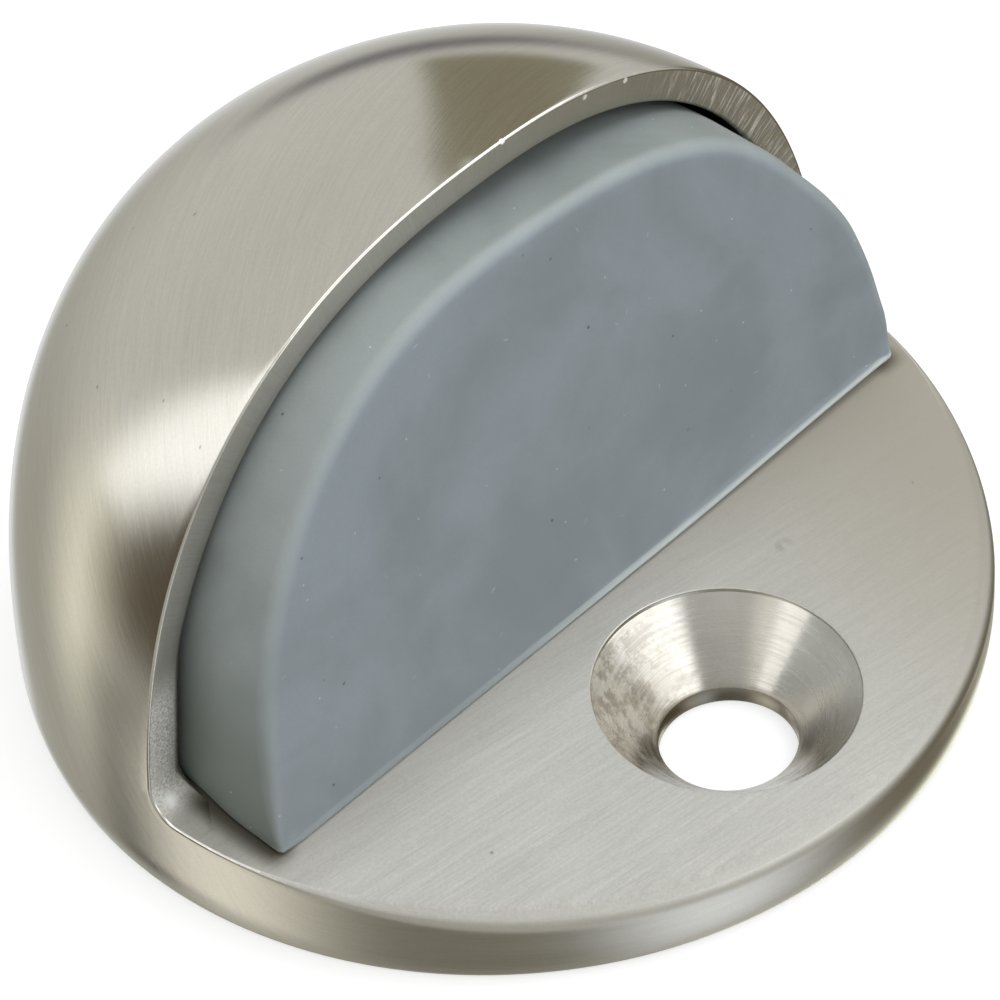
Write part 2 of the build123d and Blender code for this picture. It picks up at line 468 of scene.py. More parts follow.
# --- Cast body: surfaces -----------------------------------------------------------------------
def front_edge():
    """(point, outer normal, front normal) along the edge of the base top, the hollow and the rim.

    Also gives the height where the hollow ends and the flat of the rim begins."""
    edge = []
    slope_angle = atan(SLOPE)
    corner = Vector((RIM_Y, base_top(RIM_Y)))
    reach = HOLLOW_R / tan((pi / 2 + slope_angle) / 2)
    centre_y, centre_z = Vector((RIM_Y - HOLLOW_R, corner[1] + reach))
    start_y = corner[0] - reach * cos(slope_angle)

    def add(y, z, front):
        r = dome_radius(z)
        x = sqrt(max(r * r - y * y, 0))
        if x < 1e-6:
            x = 0
        flat, steep = dome_normal(r, z)
        out = Vector((flat * x / r, flat * y / r, steep)).normalized()
        edge.append((Vector((x, y, z)), out, front))

    # Base top
    base_front = Vector((0, -sin(slope_angle), cos(slope_angle)))
    last = acos(-start_y / BODY_R)
    for i in range(FRONT_STEPS):
        angle = last * i / FRONT_STEPS
        y = -BODY_R * cos(angle)
        for _ in range(4):
            y = -dome_radius(base_top(y)) * cos(angle)
        add(y, base_top(y), base_front)
    # Hollow
    for i in range(HOLLOW_STEPS + 1):
        turn = slope_angle + (pi / 2 - slope_angle) * i / HOLLOW_STEPS
        front = Vector((0, -sin(turn), cos(turn)))
        add(centre_y + HOLLOW_R * sin(turn), centre_z - HOLLOW_R * cos(turn), front)
    # Rim
    first = dome_angle(centre_z)
    top = acos((RIM_Y / BODY_R) ** (EXPONENT / 2))
    for i in range(1, RIM_STEPS + 1):
        _, z = dome_point(first + (top - first) * i / RIM_STEPS)
        add(RIM_Y, z, Vector((0, -1, 0)))
    return edge, centre_z


def rounded_front(edge):
    """Points across the rounded edge at each point of the front edge, from outside to front."""
    strips = []
    for p, out, front in edge:
        radius = EDGE_R + (FOOT_EDGE_R - EDGE_R) * (1 - ease(p[1], *FOOT_EDGE_FADE))
        strips.append(rounding(p, out, front, radius, ROUND_STEPS))
    return strips


def foot_column(top):
    """Points from the edge down the foot to the floor, with a rounded bottom edge."""
    column = [top]
    angle = atan2(top[0], -top[1])
    for k in range(1, WALL_ROWS + 1):
        z = FLOOR_EDGE_R + (top[2] - FLOOR_EDGE_R) * (1 - k / WALL_ROWS)
        r = dome_radius(z)
        column.append(Vector((r * sin(angle), -r * cos(angle), z)))
    for k in range(1, FLOOR_EDGE_ROWS + 1):
        turn = pi / 2 * k / FLOOR_EDGE_ROWS
        r = dome_radius(FLOOR_EDGE_R) - FLOOR_EDGE_R * (1 - cos(turn))
        column.append(Vector((r * sin(angle), -r * cos(angle), FLOOR_EDGE_R * (1 - sin(turn)))))
    return column


def add_outside(shell, strips):
    """Foot, dome and the rounded edge round the front. Gives the outline on the floor."""
    front_count = FRONT_STEPS + HOLLOW_STEPS + 1
    columns = [foot_column(s[0]) for s in strips[:front_count]]
    for side in SIDES:
        shell.grid([side(c) for c in columns])
    # Behind the rim: each row runs round the back from the right side to the left
    rows = []
    for p in columns[-1][::-1] + [s[0] for s in strips[front_count:]]:
        r = sqrt(p[0] ** 2 + p[1] ** 2)
        start = atan2(p[0], -p[1])
        turn = 2 * (pi - start)
        angles = [start + turn * k / BACK_STEPS for k in range(BACK_STEPS + 1)]
        row = [Vector((r * sin(a), -r * cos(a), p[2])) for a in angles]
        row[0] = p
        row[-1] = mirrored([p])[0]
        rows.append(row if p[0] > 1e-4 else [p] * len(row))
    shell.grid(rows)
    # Rounded edge: worn from the rim down, and rolling over into the base top at the front
    shares = [k / ROUND_STEPS for k in range(ROUND_STEPS + 1)]
    worn = [blend(DOME, EDGE, 0.4 + 0.6 * sin(pi * share)) for share in shares]
    rolled = [blend(DOME, TOP, ease(share, 0.05, 0.75)) for share in shares]
    wear = [ease(i, FRONT_STEPS - 16, FRONT_STEPS + 3) for i in range(len(strips))]
    zones = [[blend(a, b, share) for share in wear] for a, b in zip(rolled, worn)]
    for side in SIDES:
        shell.grid([side([s[k] for s in strips]) for k in range(ROUND_STEPS + 1)], zones)
    foot = [c[-1] for c in columns]
    return foot + rows[0][1:-1] + mirrored(foot[::-1])


def rim_growth(z):
    """Extra width of the rim where it comes down to the base."""
    return RIM_GROWTH * (1 - ease(z, 8, 14))


def pocket_edge(edge, flat_start):
    """Points across the pocket's rounded edge, beside each point of the hollow and the rim."""
    inner = []
    first = dome_angle(flat_start, *POCKET_INSET)
    for i, (p, _, front) in enumerate(edge[FRONT_STEPS:]):
        if i <= HOLLOW_STEPS:
            y, z = p[1], p[2]
            x = dome_radius(z, *POCKET_INSET)
            radius = min(POCKET_EDGE_R, 0.5 * (z - base_top(y)) + 0.001)
        else:
            share = (i - HOLLOW_STEPS) / RIM_STEPS
            y = RIM_Y
            x, z = dome_point(first + (pi / 2 - first) * share, *POCKET_INSET)
            x = 0 if share == 1 else x
            fade = ease(share, 0.0, 0.45)
            radius = POCKET_EDGE_R + (POCKET_CROWN_EDGE_R - POCKET_EDGE_R) * fade
        flat, steep = dome_normal(x, z, *POCKET_INSET)
        corner = Vector((x - rim_growth(z), y, z))
        inner.append(rounding(corner, front, Vector((-flat, 0, -steep)), radius, ROUND_STEPS))
    return inner


def add_rim(shell, strips, inner):
    """Flat of the hollow and the rim, and the pocket's rounded edge. Gives its front end."""
    rows = []
    for k in range(RIM_ROWS + 1):
        pairs = zip(strips[FRONT_STEPS:], inner)
        rows.append([s[-1].lerp(n[0], k / RIM_ROWS) for s, n in pairs])
    rows += [[n[k] for n in inner] for k in range(1, ROUND_STEPS + 1)]
    zones = []
    for i in range(len(inner)):
        zone = blend(TOP, RIM, ease(i / HOLLOW_STEPS, 0.0, 0.7))
        # Painted shade, kept in the blue channel: darker towards the pocket's edge, next to the
        # rubber
        grime = [ease(k, 2, 5) * ease(i, 0, 7) for k in range(len(rows))]
        zones.append([(zone[0], zone[1], g, 0) for g in grime])
    for side in SIDES:
        shell.grid([side(c) for c in zip(*rows)], zones)
    return [r[0] for r in rows[1:]]


def add_base_top(shell, strips, rim_front, wall_foot):
    """A narrow band inside the rounded edge, then the flat. Gives the countersink's mouth."""
    border = [s[-1] for s in strips[: FRONT_STEPS + 1]]
    middle = Vector((0, -8))
    band = []
    for i, p in enumerate(border):
        fade = min((FRONT_STEPS - i) / 4, 1)
        q = p.xy + (middle - p.xy).normalized() * BAND * fade
        band.append(p if i == FRONT_STEPS else Vector((*q, base_top(q[1]))))
    band[0][0] = 0
    for side in SIDES:
        shell.grid([side(border), side(band)], [TOP, TOP])
    right = band + rim_front + wall_foot
    collar = circle(SINK_R + BAND, HOLE_Y, base_top)
    mouth = circle(SINK_R, HOLE_Y, base_top)
    shell.fill([right + mirrored(right[::-1]), collar[:-1]], TOP)
    shell.grid([collar, mouth], [TOP, TOP])
    return mouth


def cone_top(y):
    """Height of the countersink's cone at its outer end, under a short upright wall."""
    return base_top(y) - SINK_WALL - SINK_WALL_LEAN * (y - HOLE_Y) / SINK_R


def add_countersink(shell, mouth):
    """Countersink, from its rounded lip to the underside. Gives its outline on the floor."""
    rings = [mouth]
    for k in range(1, LIP_ROWS + 1):
        turn = pi / 2 * k / LIP_ROWS
        drop = LIP_R * (1 - cos(turn))
        rings.append(circle(SINK_R - LIP_R * sin(turn), HOLE_Y, lambda y: base_top(y) - drop))
    wall = SINK_R - LIP_R
    rings.append(circle(wall, HOLE_Y, lambda y: cone_top(y) + 0.02))
    cone_r = wall - 0.02
    for k in range(SINK_ROWS + 1):
        share = k / SINK_ROWS
        ring = circle(cone_r + (BORE_R + BREAK - cone_r) * share, HOLE_Y, 0)
        for p, q in zip(ring, circle(cone_r, HOLE_Y, cone_top)):
            p[2] = q[2] + (LAND + BREAK - q[2]) * share
        rings.append(ring)
    rings += [circle(BORE_R, HOLE_Y, z) for z in (LAND - BREAK, 0.5, 0.1)]
    rings.append(circle(BORE_R + 0.06, HOLE_Y, 0))
    zones = [TOP, blend(TOP, EDGE, 0.7), EDGE] + [SINK] * (len(rings) - 3)
    shell.grid(rings, zones)
    return rings[-1]


def add_pocket(shell, inner, wall_foot):
    """Side wall beside the hollow, then back along the dome. Gives the hole in its floor."""
    columns = []
    for n, foot in zip(inner, wall_foot):
        columns.append([n[-1].lerp(foot, k / POCKET_ROWS) for k in range(POCKET_ROWS + 1)])
    for side in SIDES:
        shell.grid([side(c) for c in columns])
    boundary = columns[-1][::-1] + [n[-1] for n in inner[HOLLOW_STEPS + 1 :]]
    walls = []
    for p in boundary:
        fall = 0 if p is boundary[0] else POCKET_FALL
        row = [p]
        for k in range(1, POCKET_SLICES + 1):
            y = p[1] + (POCKET_BACK - p[1]) * k / POCKET_SLICES
            scale = sqrt(max(1 - (y / (BODY_R - SIDE_WALL)) ** 2, 0))
            drop = (1 - scale) * (p[2] - base_top(0)) * fall
            row.append(Vector((p[0] * scale, y, p[2] - drop)))
        walls.append(row)
    for side in SIDES:
        shell.grid([side(w) for w in walls])
    back = [w[-1] for w in walls]
    shell.fill([back + mirrored(back[::-1])[1:]], DOME)
    floor_side = walls[0]
    clearance = circle(CLEARANCE_R, FIXING_Y, floor_side[0][2], 48)
    shell.fill([floor_side + mirrored(floor_side[::-1]), clearance[:-1]], DOME)
    return clearance


def add_counterbore(shell, clearance):
    """Hole and counterbore of the bumper's screw. Gives the counterbore's outline on the floor."""
    throat = circle(CLEARANCE_R, FIXING_Y, COUNTERBORE_Z, 48)
    seat = circle(COUNTERBORE_R, FIXING_Y, COUNTERBORE_Z, 48)
    mouth = circle(COUNTERBORE_R, FIXING_Y, 0, 48)
    shell.grid([clearance, throat, seat, mouth])
    return mouth


def add_coring(shell):
    """Hollow behind the pocket, open at the underside. Gives its outline on the floor."""
    inset = (CORE_SIDE, CORE_CROWN)
    top = acos((CORE_Y / (BODY_R - CORE_SIDE)) ** (EXPONENT / 2))
    levels = [0, SHOULDER / 2]
    levels += [dome_point(top * k / CORE_ROWS, *inset)[1] for k in range(CORE_ROWS + 1)]
    rows = []
    for z in levels:
        r = dome_radius(z, *inset)
        start = pi / 2 if z == levels[-1] else asin(min(CORE_Y / r, 1))
        angles = [start + (pi - 2 * start) * k / CORE_STEPS for k in range(CORE_STEPS + 1)]
        rows.append([Vector((r * cos(a), max(r * sin(a), CORE_Y), z)) for a in angles])
    shell.grid(rows)
    shell.fill([[r[0] for r in rows] + [r[-1] for r in rows[::-1]][1:]], DOME)
    return rows[0]


def make_body():
    shell = Shell()
    edge, flat_start = front_edge()
    strips = rounded_front(edge)
    floor_outline = add_outside(shell, strips)
    inner = pocket_edge(edge, flat_start)
    rim_front = add_rim(shell, strips, inner)
    # Foot of the pocket's side wall, under the hollow
    wall_foot = [inner[0][-1].copy()]
    for n in inner[1 : HOLLOW_STEPS + 1]:
        y = n[-1][1]
        z = base_top(y)
        wall_foot.append(Vector((dome_radius(z, *POCKET_INSET) - rim_growth(z), y, z)))
    mouth = add_base_top(shell, strips, rim_front, wall_foot)
    hole = add_countersink(shell, mouth)
    clearance = add_pocket(shell, inner, wall_foot)
    counterbore = add_counterbore(shell, clearance)
    coring = add_coring(shell)
    shell.fill([floor_outline, hole[:-1], counterbore[:-1], coring], DOME)
    return shell.finish("body")


# --- Bumper: sizes, in millimetres -------------------------------------------------------------
FACE_Y = -5.9
FACE_LEAN = tan(radians(8.4))
FACE_FOOT = base_top(FACE_Y)
BUMPER_INSET = (2.0, 1.8)
BUMPER_BACK = 6.8
CORNER_R = 0.35
# Rounded edge of the face: at its corners, up its sides, and along the bottom from left to right
FACE_CORNER_EDGE_R, FACE_EDGE_R = 0.3, 0.8
BOTTOM_EDGE_R = (0.14, 0.34)
# Faults of moulding: the right end of the foot lifts, a lip of flash runs along the bottom edge,
# the right side swells, the block narrows into the pocket, the crown dips, and all of it is wavy
FACE_LIFT, FLASH_LIP, SWELL, NARROWING, CROWN_DIP, WAVE = 0.3, 0.2, 0.68, 0.018, 1.12, 0.03
FACE_DISH, FACE_WAVE = 0.05, 0.05
# Hole for the insert, with a groove for the insert's waist
INSERT_R, NECK_R, NECK_HALF, INSERT_LENGTH = 2.5, 2.0, 0.7, 6.0
PLAIN = (0, 0, 0, 0)
# Zone of the painted highlight on the face's rounded edge
EDGE_HIGHLIGHT_ZONE = (0, 0, 0, 1)

BLOCK_STEPS, FACE_EDGE_ROWS = 8, 7


def bumper_outline():
    """(x, z, outward normal in x and z, edge radius) round the D-shaped face, from bottom right.

    Also gives the number of points before the straight bottom edge."""
    z0 = FACE_FOOT
    half = []
    width = dome_radius(z0 + CORNER_R, *BUMPER_INSET)
    for k in range(5):
        a = pi / 2 * (1 - k / 5)
        x = width - CORNER_R + CORNER_R * cos(a)
        z = z0 + CORNER_R - CORNER_R * sin(a)
        half.append((x, z, cos(a), -sin(a), FACE_CORNER_EDGE_R))
    first = dome_angle(z0 + CORNER_R, *BUMPER_INSET)
    for k in range(71):
        x, z = dome_point(first + (pi / 2 - first) * k / 70, *BUMPER_INSET)
        x = 0 if k == 70 else x
        flat, steep = dome_normal(x, z, *BUMPER_INSET)
        growth = (FACE_EDGE_R - FACE_CORNER_EDGE_R) * ease(z, z0, z0 + 4)
        half.append((x, z, flat, steep, FACE_CORNER_EDGE_R + growth))
    left = [(-x, z, -nx, nz, r) for x, z, nx, nz, r in half[-2::-1]]
    bottom = []
    for k in range(1, 40):
        x = -half[0][0] + 2 * half[0][0] * k / 40
        radius = BOTTOM_EDGE_R[0] + (BOTTOM_EDGE_R[1] - BOTTOM_EDGE_R[0]) * ease(x, -6, 16)
        bottom.append((x, z0, 0, -1, radius))
    return half + left + bottom, len(half + left)


def moulded(x, y, z, lip=1.0):
    """Where a point of the plain block ends up, with the small faults of moulding."""
    above = z - FACE_FOOT
    low = 1 - ease(above, 0, 2.5)
    ahead = 1 - ease(y, -3.5, 0.6)
    z += (min(base_top(y), base_top(RIM_Y)) - FACE_FOOT) * low
    lift = FACE_LIFT * ease(x, 4, 20) * low * (1 - ease(y, FACE_Y, -1.5))
    lip *= exp(-(((above - 0.25) / 0.3) ** 2)) * (1 - ease(y, FACE_Y + 0.1, FACE_Y + 0.6))
    z += lift
    y += lift * FACE_LEAN - FLASH_LIP * (0.3 + 0.7 * ease(x, -10, 14)) * lip
    if y > 0:
        scale = sqrt(1 - (y / (BODY_R - BUMPER_INSET[0])) ** 2)
        z -= (1 - scale) * (z - base_top(0)) * POCKET_FALL * (1 - low)
        x *= scale
    x += SWELL * ease(z, 4.2, 7.4) * (1 - ease(z, 12.5, 18)) * ease(x, 12, 18.5) * ahead
    x *= 1 - NARROWING * ease(abs(x), 16, 19) * (1 - ease(z, 8, 14)) * ease(y, -3.5, 0.2)
    dip = exp(-(((x - 4.2) / 7.8) ** 2)) * ease(z, 20, 24) * (1 - 0.55 * ahead)
    z -= CROWN_DIP * dip
    wave = WAVE * noise.noise(Vector((x, y, z)) * 0.25) * ahead
    return Vector((x + wave, y, z + wave * (1 - low)))


def add_block(shell, outline, ring):
    """Sides of the block from the rim to the face, and the face's rounded edge."""
    sides = []
    for y in (0.3, 0.15, -0.2, -0.8):
        sides.append([moulded(x, y, z) for x, z, _, _, _ in outline])
    for k in range(1, BLOCK_STEPS):
        row = []
        for n, (x, z, _, _, _) in zip(ring, outline):
            y = -0.8 + (n[0][1] + 0.8) * k / BLOCK_STEPS
            row.append(moulded(x, y, z))
        sides.append(row)
    rounded = [[moulded(*n[k]) for n in ring] for k in range(FACE_EDGE_ROWS + 1)]
    # Painted highlight across the face's rounded edge, strongest in its middle
    edge_highlight = [0, 0.25, 0.6, 0.95, 1, 0.8, 0.4, 0.1]
    zones = [PLAIN] * len(sides) + [blend(PLAIN, EDGE_HIGHLIGHT_ZONE, p) for p in edge_highlight]
    shell.grid([row + row[:1] for row in sides + rounded], zones)
    return sides[0], rounded[-1], zones[-1]


def add_face(shell, outline, rounded, zone, front):
    """Face, slightly dished and uneven. outline is the one that its points are spaced from."""
    middle = Vector((0, FACE_Y + 7 * FACE_LEAN, FACE_FOOT + 7))
    rows = [rounded]
    for share in (0.03, 0.07, 0.13, 0.22, 0.34, 0.48, 0.64, 0.82):
        row = []
        for p in outline:
            q = p.lerp(middle, share)
            dish = FACE_DISH * ease(share, 0.03, 0.5)
            dish += FACE_WAVE * ease(share, 0, 0.2) * noise.noise(q * 0.22)
            row.append(q - front * dish)
        rows.append(row)
    rows.append([middle - front * FACE_DISH] * len(outline))
    shell.grid([row + row[:1] for row in rows], [zone] + [PLAIN] * (len(rows) - 1))


def add_back(shell, outline, bottom_start, foot):
    """Block in the pocket, its underside, and the hole that holds the insert."""
    depths = (0.3, 1.5, 3, 4.5, 5.8, BUMPER_BACK)
    upper = outline[:bottom_start]
    inside = [[moulded(x, y, z) for x, z, _, _, _ in upper] for y in depths]
    shell.grid(inside)
    shell.fill([inside[-1]], PLAIN)
    floor_z = base_top(RIM_Y)
    underside = [r[0] for r in inside[::-1]] + foot[::-1] + [r[-1] for r in inside]
    seat = circle(INSERT_R, FIXING_Y, floor_z, 48)
    shell.fill([underside, seat[:-1]], PLAIN)
    neck = (INSERT_LENGTH / 2 - NECK_HALF, INSERT_LENGTH / 2 + NECK_HALF)
    stack = [(INSERT_R, 0), (INSERT_R, neck[0]), (NECK_R, neck[0]), (NECK_R, neck[1])]
    stack += [(INSERT_R, neck[1]), (INSERT_R, INSERT_LENGTH)]
    shell.grid([circle(r, FIXING_Y, floor_z + z, 48) for r, z in stack])
    shell.fill([circle(INSERT_R, FIXING_Y, floor_z + INSERT_LENGTH, 48)[:-1]], PLAIN)


def make_bumper():
    shell = Shell()
    outline, bottom_start = bumper_outline()
    front = Vector((0, -1, FACE_LEAN)).normalized()
    ring = []
    for x, z, nx, nz, radius in outline:
        corner = Vector((x, FACE_Y + (z - FACE_FOOT) * FACE_LEAN, z))
        ring.append(rounding(corner, Vector((nx, 0, nz)), front, radius, FACE_EDGE_ROWS))
    first, rounded, zone = add_block(shell, outline, ring)
    flat = [moulded(*n[-1], lip=0.0) for n in ring]
    add_face(shell, flat, rounded, zone, front)
    add_back(shell, outline, bottom_start, first[bottom_start:])
    return shell.finish("bumper")


# --- Materials ---------------------------------------------------------------------------------
# Nickel plate (darkest and lightest), what tints or wears it, and the painted shade, glints and
# highlights laid on it
PLATE = (rgb(0.55, 0.525, 0.47), rgb(0.65, 0.625, 0.57))
TOP_PLATE = (rgb(0.53, 0.517, 0.486), rgb(0.68, 0.667, 0.633))
SHADE_BY_RUBBER = rgb(0.37, 0.35, 0.31)
WARM_SHADE_TO_RIGHT = rgb(0.47, 0.435, 0.37)
BROWNED = rgb(0.34, 0.3, 0.22)
WORN = rgb(0.84, 0.82, 0.78)
WHITE = rgb(1.0, 1.0, 1.0)
SCRATCH_GLINT = rgb(0.95, 0.93, 0.9)
FILED = (rgb(0.66, 0.64, 0.58), rgb(1.0, 0.99, 0.96))
DARK_MARK = rgb(0.2, 0.18, 0.15)
CONTACT_SHADE_COLOUR = rgb(0.1, 0.085, 0.055)
# Turned metal of the countersink, with painted light on its right side and painted shade on its
# far side
STAINED = rgb(0.45, 0.38, 0.3)
LAND_SHADE = rgb(0.16, 0.13, 0.08)
PAINTED_LIT_SIDE = rgb(0.92, 0.87, 0.78)
SMUDGE = rgb(0.2, 0.16, 0.11)
SHADED_FAR_SIDE = rgb(0.27, 0.265, 0.25)
# Single marks: a pip of the casting, nicks in the rim's outer edge painted white as their glints,
# and a painted highlight in the hollow
PIP = (8.24, -9.8, 4.3)
NICK_GLINTS = ((2.0, 0.15, 27.1), (7.15, 0.12, 26.2), (9.7, 0.12, 25.45))
HOLLOW_HIGHLIGHT = (-21.3, -0.35, 5.4)
# Horizontal direction, away from the hole's axis, of the countersink's far side
FAR = (0.69, 0.72, 0.0)
# Directions across the grooves of the brushing
DOME_ACROSS = (0.273, -0.765, 0.583)
TOP_ACROSS = (0.1, 0.75, 0.65)


def position(tree):
    """Position in millimetres."""
    place = tree.node("ShaderNodeTexCoord").outputs["Object"]
    return tree.vector("MULTIPLY", place, (1000, 1000, 1000))


class Place:
    """Values at a point of the casting, passed between the steps of its material."""


def casting_point(tree, turned):
    """Where a point of the casting is, and the surfaces that it belongs to."""
    at = Place()
    at.pos = position(tree)
    at.x, at.y, at.z = tree.separate(at.pos)
    zone = tree.node("ShaderNodeAttribute", attribute_name="zone")
    colours = tree.node("ShaderNodeSeparateColor")
    tree.feed(colours, 0, zone.outputs["Color"])
    at.top, at.rim, blue = colours.outputs
    # The blue channel is the countersink on turned metal, and painted shade on the other faces
    at.sink, at.grime = (blue, 0.0) if turned else (0.0, blue)
    at.edge = zone.outputs["Alpha"]
    at.crown = tree.remap(at.z, 21.0, 25.5)
    from_hole = tree.vector("SUBTRACT", at.pos, (0.0, HOLE_Y, 0.0))
    at.from_axis = tree.vector("MULTIPLY", from_hole, (1, 1, 0))
    at.outward = tree.vector("NORMALIZE", at.from_axis)
    return at


def streaks(tree, at, per_mm, along, detail):
    """Noise drawn out along the brushing."""
    point = tree.combine(
        tree.times(at.across, per_mm),
        tree.times(at.x, along),
        tree.times(tree.math("ADD", at.y, at.z), along),
    )
    return tree.noise(point, 1.0, detail, 0.6)


def add_brushing(tree, at):
    """The distance across the grooves, in millimetres, and the noise of brushing and plate."""
    across = tree.vector("DOT_PRODUCT", at.pos, DOME_ACROSS, output="Value")
    across = tree.lerp(tree.remap(at.y, -2.0, -9.0), across, at.z)
    across = tree.lerp(at.top, across, tree.add(at.y, (at.x, 0.14)))
    turn = tree.math("ARCTAN2", at.x, tree.math("SUBTRACT", at.z, 5.0))
    across = tree.lerp(at.rim, across, tree.times(turn, 20.0))
    across = tree.lerp(at.sink, across, tree.vector("LENGTH", at.from_axis, output="Value"))
    at.across = tree.lerp(tree.remap(at.z, 0.1, 0.02), across, at.y)
    at.fine = streaks(tree, at, 15.0, 0.4, 3.0)
    at.broad = streaks(tree, at, 3.0, 0.12, 3.0)
    at.grain = tree.noise(at.pos, 7.0, 3.0, 0.7)


def plate_colour(tree, at):
    """Brushed plate, lighter on the base top, where painted shade darkens it towards the rubber
    and, warmer, to the right.
    """
    cloud = tree.noise(at.pos, 0.14, 3.0, 0.55)
    uneven = tree.math("SUBTRACT", at.grain, 0.5)
    tone = tree.add(tree.times(at.broad, 0.25), (at.fine, 0.55), (cloud, 0.2), (uneven, 0.4))
    tone = tree.remap(tone, 0.3, 0.7, smooth=False)
    colour = tree.mix(tone, *PLATE)
    top_plate = tree.mix(tone, *TOP_PLATE)
    # Painted shade: the base top darker towards the rubber
    top_plate = tree.mix(tree.remap(at.y, -9.5, -5.5, 0.0, 0.35), top_plate, SHADE_BY_RUBBER)
    colour = tree.mix(at.top, colour, top_plate)
    # Painted shade: the base top darker and warmer to the right
    return tree.mix(tree.times(at.top, tree.remap(at.x, -2.0, 19.0, 0.0, 0.85)), colour, WARM_SHADE_TO_RIGHT)


def wear(tree, at, colour):
    """Bright wear on the edges, nicks painted white as their glints, and small dark marks in the
    plate.
    """
    worn = tree.remap(tree.noise(at.pos, 1.1, 4.0, 0.75), 0.5, 0.7, 0.1, 0.8)
    upper = tree.times(tree.remap(at.x, -17.0, -12.0), tree.remap(at.x, 13.0, 10.0))
    bare = tree.highest(upper, tree.remap(at.y, 0.0, -2.0))
    colour = tree.mix(tree.times(at.edge, worn, bare), colour, WORN)
    # Nicks: real marks, painted white and matt to stand for their glints
    nick_glints = [tree.remap(tree.distance(at.pos, nick), 0.17, 0.1) for nick in NICK_GLINTS]
    at.matt = tree.highest(*nick_glints)
    colour = tree.mix(at.matt, colour, WHITE)
    marks = tree.remap(tree.cells(at.pos, 0.45), 0.055, 0.03)
    marks = tree.times(marks, tree.remap(tree.noise(at.pos, 3.0, 2.0), 0.52, 0.6), 0.5)
    return tree.mix(marks, colour, DARK_MARK)


def stains(tree, at, colour):
    """Countersink: stains, and the bore's dark land."""
    stain = tree.remap(tree.noise(at.pos, 0.35, 4.0, 0.7), 0.4, 0.8)
    at.stain = tree.times(at.sink, stain, 0.4)
    colour = tree.mix(at.stain, colour, STAINED)
    land = tree.times(at.sink, tree.remap(at.z, LAND + 0.12, LAND - 0.05, 0.0, 0.8))
    return tree.mix(land, colour, LAND_SHADE)


def turned_marks_and_painted_light(tree, at, colour):
    """Countersink: a right side painted lighter and matt as painted light, smudges on the left,
    and a far side darkened as painted shade.
    """
    # Painted light: the countersink lighter and matt on its right side
    right = tree.times(at.sink, tree.remap(at.x, 1.5, 5.0, 0.0, 0.6))
    at.matt = tree.highest(at.matt, tree.times(right, 0.65))
    colour = tree.mix(right, colour, PAINTED_LIT_SIDE)
    smudge = tree.remap(tree.noise(at.pos, 0.9, 4.0, 0.75), 0.44, 0.6)
    smudge = tree.times(at.sink, smudge, tree.remap(at.x, 3.5, -3.5, 0.05, 0.6))
    colour = tree.mix(smudge, colour, SMUDGE)
    # Painted shade: the countersink darker on its far side
    far = tree.vector("DOT_PRODUCT", at.outward, FAR, output="Value")
    return tree.mix(tree.times(at.sink, tree.remap(far, 0.91, 0.98, 0.0, 0.55)), colour, SHADED_FAR_SIDE)


def rim_marks_and_painted_light(tree, at, colour):
    """Rim: browned to the right, scratched at the crown's right with the scratches painted white
    as glints, filed at the foot, and a painted highlight in the hollow.
    """
    browned = tree.times(at.rim, tree.remap(at.x, 8.0, -8.0, 0.55, 0.0))
    colour = tree.mix(browned, colour, BROWNED)
    # Scratches: real marks, painted white and matt to stand for their glints
    scratch_glint = tree.remap(streaks(tree, at, 7.0, 0.6, 3.0), 0.48, 0.7, 0.0, 0.6)
    scratch_glint = tree.times(at.rim, tree.remap(at.x, 10.0, 14.5), scratch_glint)
    colour = tree.mix(scratch_glint, colour, SCRATCH_GLINT)
    at.filed = tree.times(at.rim, tree.remap(at.z, 13.0, 10.0))
    speckle = tree.remap(tree.noise(at.pos, 9.0, 3.0, 0.7), 0.25, 0.75)
    colour = tree.mix(at.filed, colour, tree.mix(speckle, *FILED))
    # Painted highlight: a white matt spot in the hollow
    hollow_highlight = tree.remap(tree.distance(at.pos, HOLLOW_HIGHLIGHT), 0.55, 0.05, 0.0, 0.8)
    filed_matt = tree.times(at.filed, speckle, 0.85)
    at.matt = tree.highest(at.matt, tree.times(scratch_glint, 0.8), filed_matt, hollow_highlight)
    return tree.mix(hollow_highlight, colour, WHITE)


def painted_contact_shade(tree, at, colour):
    """Painted shade along the pocket's edge, and beside the rubber where it meets the base top."""
    out = tree.math("ABSOLUTE", at.x)
    # Painted shade on the base top beside the rubber's foot
    shade_beside_rubber = tree.times(tree.remap(out, 21.3, 20.2), tree.remap(out, 19.0, 20.0))
    shade_beside_rubber = tree.times(shade_beside_rubber, at.top, tree.remap(at.y, -6.6, -5.4))
    # Painted shade along the pocket's edge, deeper lower down
    grime = tree.times(at.grime, tree.remap(at.z, 20.0, 8.0, 0.55, 1.0))
    return tree.mix(tree.times(tree.highest(grime, shade_beside_rubber), 0.85), colour, CONTACT_SHADE_COLOUR)


